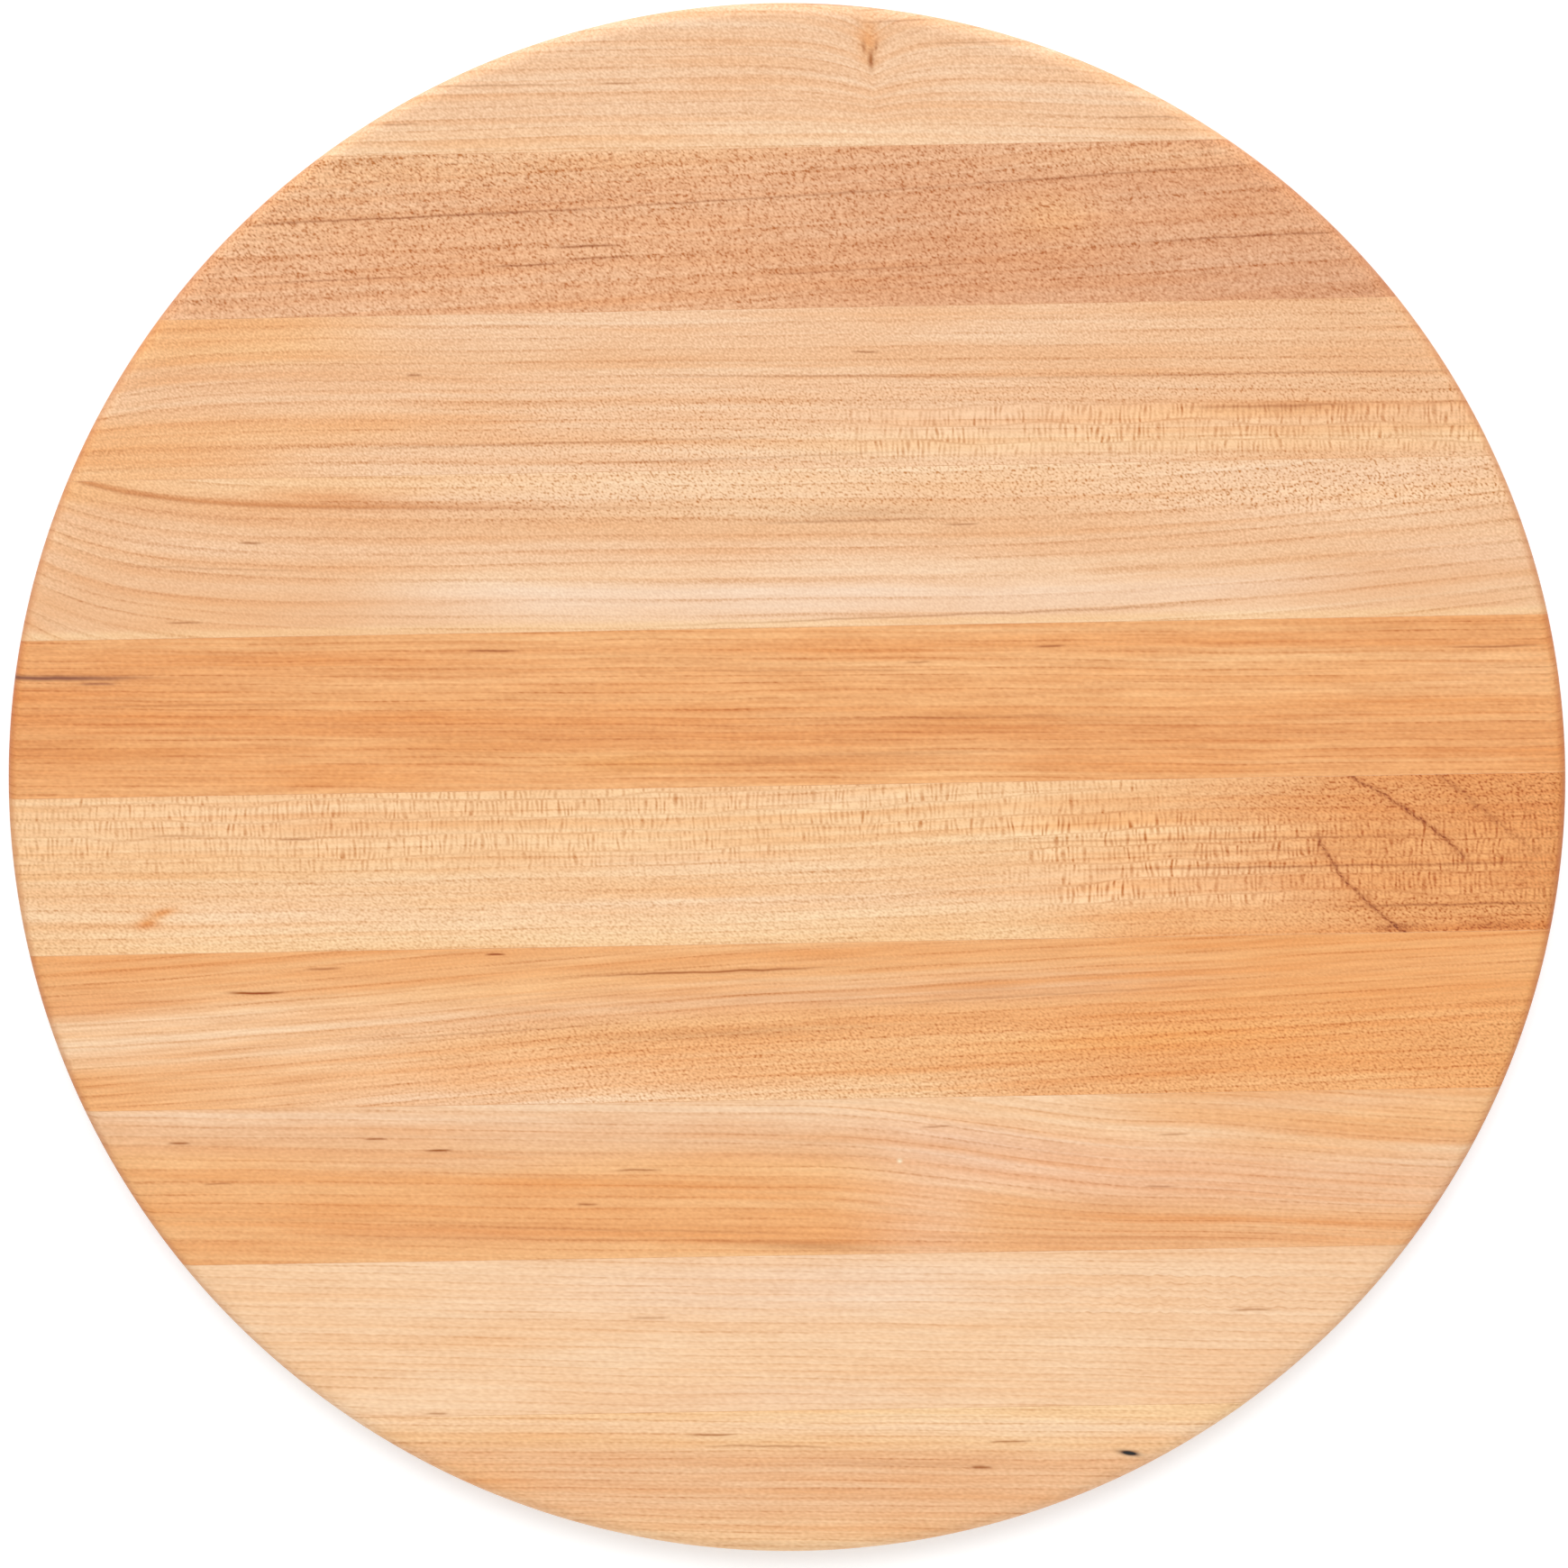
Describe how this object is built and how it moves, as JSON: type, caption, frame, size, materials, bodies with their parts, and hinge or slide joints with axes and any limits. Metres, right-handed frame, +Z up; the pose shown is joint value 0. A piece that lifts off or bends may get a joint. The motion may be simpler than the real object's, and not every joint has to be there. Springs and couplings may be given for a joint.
{
  "type": "round chopping block",
  "caption": "Round edge-grain maple chopping block: straight glued strips cut to a disc, with eased rims and a flat face on both sides.",
  "frame": {"origin": "centre of the face the board rests on", "axes": "+Z up through the thickness, to the cutting face; the strips and their grain run along X; strip_1 is on the +Y side"},
  "size_m": [0.4572, 0.4572, 0.0381],
  "materials": {
    "cream_maple": "satin, lightly oiled",
    "pinkish_maple": "satin, lightly oiled",
    "peach_maple": "satin, lightly oiled",
    "honey_maple": "satin, lightly oiled",
    "glue": "matte"
  },
  "bodies": {
    "root": {"strip_1": "cream_maple", "strip_2": "pinkish_maple", "strip_3": "peach_maple", "strip_4": "cream_maple", "strip_5": "honey_maple", "strip_6": "cream_maple", "strip_7": "peach_maple", "strip_8": "pinkish_maple", "strip_9": "cream_maple", "strip_10": "cream_maple", "glue_line_1": "glue", "glue_line_2": "glue", "glue_line_3": "glue", "glue_line_4": "glue", "glue_line_5": "glue", "glue_line_6": "glue", "glue_line_7": "glue", "glue_line_8": "glue", "glue_line_9": "glue"}
  },
  "joints": []
}
